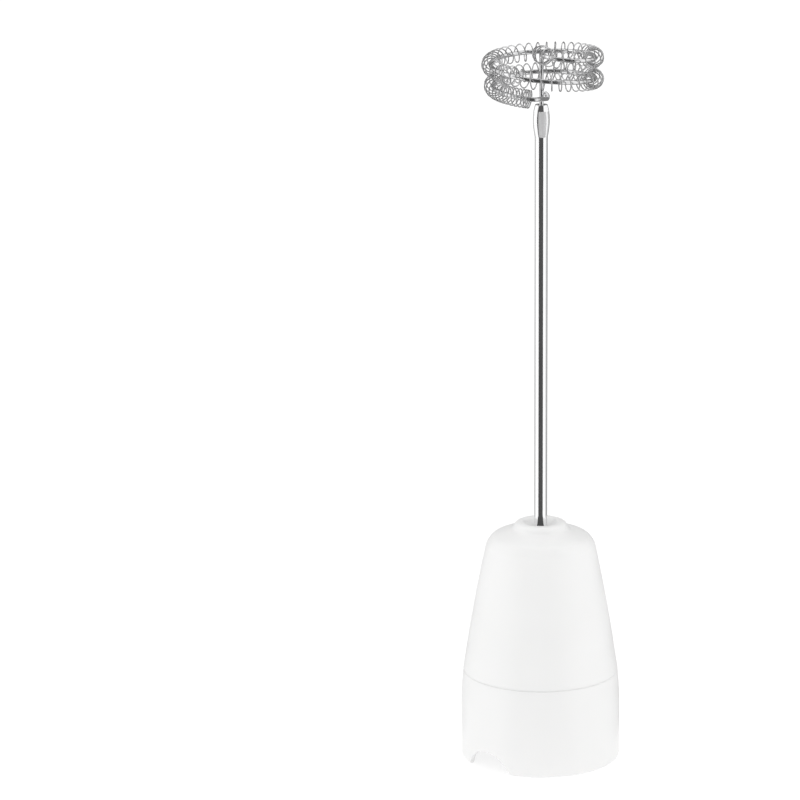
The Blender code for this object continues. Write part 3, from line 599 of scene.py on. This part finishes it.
def seal(material):
    """Rubber seal under the collar's dish, with a thin lip at the rod."""
    outer, lip = COLLAR_BORE_R - SEAL_CLEARANCE, ROD_R + SEAL_CLEARANCE
    top, low = SEAL_HIGH.z, SEAL_LOW.z
    profile = corner((outer - SEAL_EDGE, top - SEAL_EDGE), SEAL_EDGE, 90, 0)
    profile += [(outer, low), (lip, low)]
    profile += corner((lip + SEAL_LIP_EDGE, low + SEAL_LIP_HEIGHT), SEAL_LIP_EDGE, 180, 30)
    profile += bezier((lip + 0.5 * MM, low + 0.75 * MM), (outer - 1.6 * MM, low + 0.7 * MM),
                      (outer - 1.2 * MM, top - 0.5 * MM), (outer - 0.8 * MM, top), 8)
    obj = lathe("collar_seal", profile, material, 96)
    settle(obj, "head", "black_rubber", "shaft_seal")


def spline(extra):
    """Radius of the splined bore as a function of the angle, wider by an extra."""
    def radius(a):
        rise = math.tanh(SPLINE_FLANK * math.cos(SPLINES * a)) / SPLINE_TOP
        return max(SOCKET_HOLE_R, SPLINE_R + extra + SPLINE_DEPTH * rise)
    return radius


def coupling(material):
    """Splined socket that takes the motor's shaft, with a lead-in at its mouth and a groove round it."""
    outer, mouth, top = COUPLING_HIGH.x, COUPLING_LOW.z, COUPLING_HIGH.z
    top_edge, mouth_edge = SOCKET_EDGES
    widening, lead = SOCKET_LEAD
    profile = corner((outer - top_edge, top - top_edge), top_edge, 90, 0, 3)
    depths = (0.0, GROOVE_DEPTH, GROOVE_DEPTH, 0.0)
    profile += [(outer - depth, z) for depth, z in zip(depths, reversed(GROOVE_Z))]
    profile += corner((outer - mouth_edge, mouth + mouth_edge), mouth_edge, 0, -90)
    profile += [(spline(widening), mouth), (spline(0.0), mouth + lead), (spline(0.0), SOCKET_FLOOR_Z)]
    profile += [(SOCKET_HOLE_R, SOCKET_FLOOR_Z), (SOCKET_HOLE_R, top)]
    obj = lathe("splined_socket", profile, material, 192)
    settle(obj, "input", "grey_plastic", "drive_coupling")


# ---- whisk ----


def front_frame(points):
    """Points given as (right, back, up), seen from the side that the wire's arm points to."""
    turn = FRONT + QUARTER
    points = np.asarray(points, float)
    x = points[:, 0] * math.cos(turn) - points[:, 1] * math.sin(turn)
    y = points[:, 0] * math.sin(turn) + points[:, 1] * math.cos(turn)
    return np.stack([x, y, points[:, 2]], axis=1)


def rod_section(z, count):
    """Round outline that swells sideways and is pressed flat front and back near the mouth."""
    u = min(1.0, max(0.0, (z - BULGE_Z[0]) / (BULGE_Z[1] - BULGE_Z[0])))
    taper = max(0.0, (z - PRESSED_Z[1]) / (ROD_MOUTH_Z - PRESSED_Z[1]))
    radius = ROD_R + (ROD_MOUTH_R - ROD_R) * min(1.0, taper)
    half_width = radius + BULGE * math.sin(math.pi * u)
    inside = min(z - PRESSED_Z[0], PRESSED_Z[1] - z)
    press = min(1.0, max(0.0, inside / PRESSED_RAMP))
    depth = radius + (PRESSED_DEPTH - radius) * press
    angles = TURN * np.arange(count) / count
    side = half_width * np.cos(angles)
    back = np.clip(radius * np.sin(angles), -depth, depth)
    cos, sin = math.cos(PRESSED_TURN), math.sin(PRESSED_TURN)
    return np.stack([side * cos - back * sin, side * sin + back * cos, np.full(count, z)], axis=1)


def rod_heights():
    """Heights of the rod's rows up to the mouth, close together where the flats begin and end."""
    low, high = PRESSED_Z
    straight = (ROD_LOW.z + ROD_NECK + 2 * ROD_CHAMFER, BULGE_Z[0] - 0.3 * MM)
    heights = list(np.linspace(*straight, 12))
    heights += [low - 2 * ROW_GAP, low, low + PRESSED_RAMP]
    heights += list(np.linspace(low + PRESSED_RAMP, high - PRESSED_RAMP, 26))[1:]
    heights += [high, high + 2 * ROW_GAP]
    heights += list(np.linspace(high, ROD_MOUTH_Z - ROD_MOUTH_EDGE - ROW_GAP, 8))[1:]
    return heights


def rod_mouth(count):
    """Rows of the rounded edge at the rod's mouth."""
    rows = []
    for i in range(1, 5):
        a = QUARTER * i / 4
        section = rod_section(ROD_MOUTH_Z, count)
        section[:, :2] *= 1 - ROD_MOUTH_EDGE / ROD_MOUTH_R * (1 - math.cos(a))
        section[:, 2] = ROD_MOUTH_Z - ROD_MOUTH_EDGE * (1 - math.sin(a))
        rows.append(section)
    return rows


def dull_flats(obj):
    """Give the faces of the pressed flats the rod's second finish."""
    facing = Vector((math.cos(FRONT + PRESSED_TURN), math.sin(FRONT + PRESSED_TURN), 0))
    for face in obj.data.polygons:
        out = abs(face.center.dot(facing))
        if PRESSED_Z[0] < face.center.z < PRESSED_Z[1] and out > PRESSED_DEPTH * PRESSED_SHARE:
            face.material_index = 1


def rod(polished, pressed):
    """Steel rod with a reduced lower end, a pressed upper end and the bore that holds the wire."""
    count = 96
    angles = PRESSED_TURN + TURN * np.arange(count) / count
    circle = np.stack([np.cos(angles), np.sin(angles), np.zeros(count)], axis=1)
    neck_z = ROD_LOW.z + ROD_NECK
    foot = ((ROD_NECK_R, ROD_LOW.z), (ROD_NECK_R, neck_z),
            (ROD_R - ROD_CHAMFER, neck_z), (ROD_R, neck_z + ROD_CHAMFER))
    bore = ((ROD_BORE_R + ROD_BORE_LEAD, ROD_MOUTH_Z), (ROD_BORE_R, ROD_MOUTH_Z - ROD_BORE_LEAD),
            (ROD_BORE_R, ROD_BORE_Z))
    rows = [circle * r + (0, 0, z) for r, z in foot]
    rows += [rod_section(z, count) for z in rod_heights()] + rod_mouth(count)
    rows += [circle * r + (0, 0, z) for r, z in bore]
    points = front_frame(np.concatenate(rows))
    obj = make_object("whisk_rod", points, bar_faces(len(rows), count), [polished, pressed], 30.0)
    dull_flats(obj)
    settle(obj, "whisk", "shaft_steel", "drive_rod")


def ring_height(turn):
    """Height of the wire ring after so much of a turn, on a smooth curve through its quarter-turn heights."""
    place = turn / QUARTER
    index = min(int(place), len(RING_Z) - 2)
    last = len(RING_Z) - 1
    heights = (RING_Z[min(max(k, 0), last)] * MM for k in range(index - 1, index + 3))
    return between(*heights, place - index)


def ring_path(count):
    """Round the ring from its right-hand side, a little smaller on the second turn."""
    points = []
    for i in range(count + 1):
        a = RING_END * i / count
        second_turn = max(0.0, a - TURN) / TURN
        r = RING_R - RING_SHRINK * min(1.0, 2 * second_turn)
        points.append((RING_OFFSET + r * math.cos(a), r * math.sin(a), ring_height(a)))
    return points


def arm_path(count):
    """From the bend over the post, out to the front and round to the ring's right-hand side."""
    half = (RING_R + RING_OFFSET) / 2
    points = []
    for i in range(count + 1):
        a = math.pi * i / count
        out = POST_BEND_R * (1 - a / math.pi) + half * math.sin(a)
        drop = (ARM_Z - RING_Z[0] * MM) * (1 - math.cos(a)) / 2
        points.append((half - half * math.cos(a), -out, ARM_Z - drop))
    return points


def post_path():
    """Up the post out of the rod's bore, and round the bend into the arm."""
    points = [(0, 0, z) for z in np.linspace(POST_LOW_Z, ARM_Z - POST_BEND_R, 14)[:-1]]
    for i in range(12):
        a = QUARTER * i / 12
        points.append((0, -POST_BEND_R * (1 - math.cos(a)), ARM_Z - POST_BEND_R * (1 - math.sin(a))))
    return points


def tail_path():
    """Off the end of the ring, inwards to the post, and hooked round it."""
    heading = RING_END + QUARTER
    left = Vector((-math.sin(heading), math.cos(heading), 0))
    centre = Vector(ring_path(1)[-1]) + TAIL_BEND_R * left
    bend, bend_steps = [], 14
    for i in range(1, bend_steps + 1):
        a = heading - QUARTER + (TAIL_HEADING - heading + 2 * TURN) * i / bend_steps
        offset = Vector((math.cos(a), math.sin(a), 0)) * TAIL_BEND_R
        bend.append(tuple(centre + offset - Vector((0, 0, TAIL_DROP * i / bend_steps))))
    hook, hook_steps = [], 16
    for i in range(hook_steps + 1):
        a = HOOK_TURN[0] + (HOOK_TURN[1] - HOOK_TURN[0]) * i / hook_steps
        z = HOOK_Z[0] + (HOOK_Z[1] - HOOK_Z[0]) * i / hook_steps
        hook.append((HOOK_R * math.cos(a), HOOK_R * math.sin(a), z))
    straight = [tuple(Vector(bend[-1]).lerp(Vector(hook[0]), i / 10)) for i in range(1, 10)]
    return bend + straight + hook


def core_wire(material):
    """One wire: post, arm, ring and tail."""
    path = post_path() + arm_path(60) + ring_path(260)[1:] + tail_path()
    obj = tube("core_wire", front_frame(path), WIRE_R, 20, material)
    settle(obj, "whisk", "wire_steel", "whisk_wire")


def coil_axis():
    """The line that the coil is threaded on, evenly sampled: points, directions, and distances along it."""
    points = np.array(arm_path(200) + ring_path(1200)[1:], float)
    run = np.concatenate([[0.0], np.cumsum(np.linalg.norm(np.diff(points, axis=0), axis=1))])
    at = np.linspace(0.0, run[-1], COIL_SAMPLES)
    centre = resample(points, run, at)
    return centre, unit_rows(np.gradient(centre, axis=0)), at


def closeness(from_end, stretch):
    """How closely the coil is wound at a distance from one end: 1 at the end, 0 past the stretch."""
    return np.clip((stretch - from_end) / (COIL_FADE * stretch), 0.0, 1.0)


def coil_turn(at, length):
    """Turns wound up to each distance: close winding at both ends, and open winding between them."""
    close = np.maximum(closeness(at, COIL_LEAD_LENGTH), closeness(length - at, COIL_DENSE_LENGTH))
    pitch = COIL_PITCH + (COIL_DENSE_PITCH - COIL_PITCH) * close
    pitch *= 1 + sum(sway * np.sin(at / reach + phase) for sway, reach, phase in COIL_SWAYS)
    stretch, fade, share = COIL_CLOSING
    pitch *= 1 - share * np.clip((at - (length - stretch)) / fade, 0.0, 1.0)
    steps = np.diff(at) / ((pitch[1:] + pitch[:-1]) / 2)
    return np.concatenate([[0.0], np.cumsum(steps)])


def frothing_coil(material):
    """Fine spring wire wound round the arm and the ring."""
    centre, tangent, at = coil_axis()
    turn = coil_turn(at, at[-1])
    wanted = np.arange(0.0, turn[-1], 1.0 / COIL_POINTS)
    centre, tangent = resample(centre, turn, wanted), resample(tangent, turn, wanted)
    left = unit_rows(np.cross((0.0, 0.0, 1.0), tangent))
    up = np.cross(tangent, left)
    angle = TURN * (wanted[:, None] + COIL_START) + QUARTER
    path = centre + COIL_R * (np.cos(angle) * left + np.sin(angle) * up)
    obj = tube("frothing_coil", front_frame(path), COIL_WIRE_R, 10, material)
    settle(obj, "whisk", "wire_steel", "froth_coil")


# ---- frame nodes that show as they are ----


def paint_frame(materials):
    """Give each CAD node the material of its slot."""
    slots = {row["node"]: row["material_slot"] for row in frame["record"]["subparts"]}
    for name, obj in frame["nodes"].items():
        obj.data.materials.clear()
        obj.data.materials.append(materials[slots[name]])


# ---- stage, light and camera ----


def card(name, corners, material):
    """A sheet of the stage: one face, flat or bent round the object."""
    mesh = bpy.data.meshes.new(name)
    mesh.from_pydata(corners, [], [tuple(range(len(corners)))])
    mesh.materials.append(material)
    obj = bpy.data.objects.new(name, mesh)
    bpy.context.scene.collection.objects.link(obj)
    return obj


def studio_floor():
    """A white light table: pale, and faintly lit from below, so that the ground has almost no shadow."""
    nodes = Nodes("studio_floor", (0.30, 0.30, 0.30), 0.85)
    nodes.shader.inputs["Specular IOR Level"].default_value = 0.0
    nodes.shader.inputs["Emission Color"].default_value = (1.0, 1.0, 1.0, 1.0)
    nodes.shader.inputs["Emission Strength"].default_value = 0.775
    corners = [(x * FLOOR_HALF, y * FLOOR_HALF, 0) for x, y in ((-1, -1), (1, -1), (1, 1), (-1, 1))]
    card("floor", corners, nodes.material)


def emission(name, value):
    """A grey that doesn't depend on the light."""
    material = bpy.data.materials.new(name)
    material.use_nodes = True
    tree = material.node_tree
    tree.nodes.clear()
    light = tree.nodes.new("ShaderNodeEmission")
    light.inputs["Color"].default_value = (value, value, value, 1.0)
    out = tree.nodes.new("ShaderNodeOutputMaterial")
    tree.links.new(light.outputs["Emission"], out.inputs["Surface"])
    return material


def flag(name, azimuth, half_angle, low, high, value):
    """A grey studio flag that only reflections see. It draws a stripe down polished metal.

    It is a part of a ring round the object, between a low and a high (radius, height). Its azimuth is
    in degrees from the camera's."""
    corners = []
    for (radius, z), order in ((low, range(FLAG_STEPS + 1)), (high, range(FLAG_STEPS, -1, -1))):
        for i in order:
            a = CAMERA_AZIMUTH + math.radians(azimuth + half_angle * (2 * i / FLAG_STEPS - 1))
            corners.append((radius * math.sin(a), -radius * math.cos(a), z))
    obj = card(name, corners, emission(name, value))
    obj.visible_camera = False
    obj.visible_diffuse = False
    obj.visible_shadow = False
    obj.visible_transmission = False


def studio_flags():
    """Flags in front, at both sides and behind, on the floor and as walls, and one overhead; and small sheets
    that paint dark reflections on the rod's foot and the ring's wire.
    """
    stripes = (("front", -3.0, 40.0, 0.075), ("left", -127.5, 19.5, 0.62), ("right", 108.0, 16.5, 0.58))
    for side, azimuth, half_angle, value in stripes:
        flag("flag_" + side, azimuth, half_angle, FLAG_NEAR, FLAG_FAR, value)
        # Painted reflections: grey sheets just over the collar's dish darken the rod's foot where it mirrors
        # them
        flag("painted_reflection_foot_" + side, azimuth, half_angle, *FOOT_PAINTED_REFLECTION, value)
    # Painted reflection: a grey sheet below the ring darkens the lower half of its wire
    flag("painted_reflection_under_ring", -3.0, 40.0, *RING_PAINTED_REFLECTION, 0.075)
    flag("flag_wall", -3.0, 40.0, FLAG_FAR, FRONT_WALL_JOIN, 0.09)
    flag("flag_wall_high", -8.0, 62.0, FRONT_WALL_JOIN, FRONT_WALL_TOP, 0.09)
    flag("flag_above", -8.0, 62.0, FRONT_WALL_TOP, OVERHEAD, 0.12)
    flag("flag_back", 169.0, 44.0, FLAG_NEAR, FLAG_FAR, 0.25)
    flag("flag_back_wall", 180.0, 50.0, FLAG_FAR, BACK_WALL_TOP, 0.25)


def softbox(name, azimuth, power):
    """A tall soft light beside the object, at this azimuth from the camera's."""
    light = bpy.data.lights.new(name, "AREA")
    light.shape = "RECTANGLE"
    light.size, light.size_y = SOFTBOX_SIZE
    light.energy = power
    obj = bpy.data.objects.new(name, light)
    a = CAMERA_AZIMUTH + math.radians(azimuth)
    obj.location = (SOFTBOX_DISTANCE * math.sin(a), -SOFTBOX_DISTANCE * math.cos(a), SOFTBOX_HEIGHT)
    aim = Vector((0, 0, SOFTBOX_AIM_Z)) - obj.location
    obj.rotation_euler = aim.to_track_quat("-Z", "Y").to_euler()
    bpy.context.scene.collection.objects.link(obj)


def studio_light():
    """A white world, two soft lights, and the flags that the metal mirrors."""
    world = bpy.data.worlds.new("studio")
    bpy.context.scene.world = world
    world.use_nodes = True
    background = world.node_tree.nodes["Background"]
    background.inputs["Color"].default_value = (1.0, 1.0, 1.0, 1.0)
    background.inputs["Strength"].default_value = 1.02
    softbox("left_box", -80.0, 2.0)
    softbox("right_box", 80.0, 1.2)
    studio_flags()
    bpy.context.scene.view_settings.view_transform = "Standard"


def camera():
    """A long lens at the camera's place, turned by yaw, pitch and roll from looking level at the shaft."""
    data = bpy.data.cameras.new("camera")
    data.lens = CAMERA_LENS
    data.sensor_width = CAMERA_SENSOR
    obj = bpy.data.objects.new("camera", data)
    bpy.context.scene.collection.objects.link(obj)
    a = CAMERA_AZIMUTH
    place = Vector((CAMERA_DISTANCE * math.sin(a), -CAMERA_DISTANCE * math.cos(a), CAMERA_HEIGHT))
    right = Vector((math.cos(a), math.sin(a), 0))
    ahead = Vector((-math.sin(a), math.cos(a), 0))
    level = ahead * math.cos(CAMERA_YAW) - right * math.sin(CAMERA_YAW)
    side = right * math.cos(CAMERA_YAW) + ahead * math.sin(CAMERA_YAW)
    look = level * math.cos(CAMERA_PITCH) - Vector((0, 0, math.sin(CAMERA_PITCH)))
    up = side.cross(look)
    tilted_side = side * math.cos(CAMERA_ROLL) + up * math.sin(CAMERA_ROLL)
    tilted_up = up * math.cos(CAMERA_ROLL) - side * math.sin(CAMERA_ROLL)
    axes = Matrix((tilted_side, tilted_up, -look)).transposed().to_4x4()
    obj.matrix_world = Matrix.Translation(place) @ axes
    bpy.context.scene.camera = obj


def main():
    camera()
    abs_white = white_plastic()
    dark_grey = moulded_nylon("grey_nylon", (0.13, 0.13, 0.135), (0.17, 0.17, 0.175))
    rubber_grey = rubber()
    polished, wire = polished_steel(), drawn_wire()
    paint_frame({
        "white_plastic": abs_white,
        "natural_nylon": moulded_nylon("natural_nylon", (0.74, 0.70, 0.62), (0.82, 0.79, 0.72)),
        "grey_plastic": dark_grey,
        "black_rubber": rubber_grey,
        "bronze": sintered_bronze(),
        "fastener_steel": plain_steel(),
        "shaft_steel": polished,
        "wire_steel": wire,
    })
    housing(abs_white)
    skirt(abs_white)
    seal(rubber_grey)
    coupling(dark_grey)
    rod(polished, pressed_steel())
    core_wire(wire)
    frothing_coil(spring_wire())
    studio_floor()
    studio_light()


main()
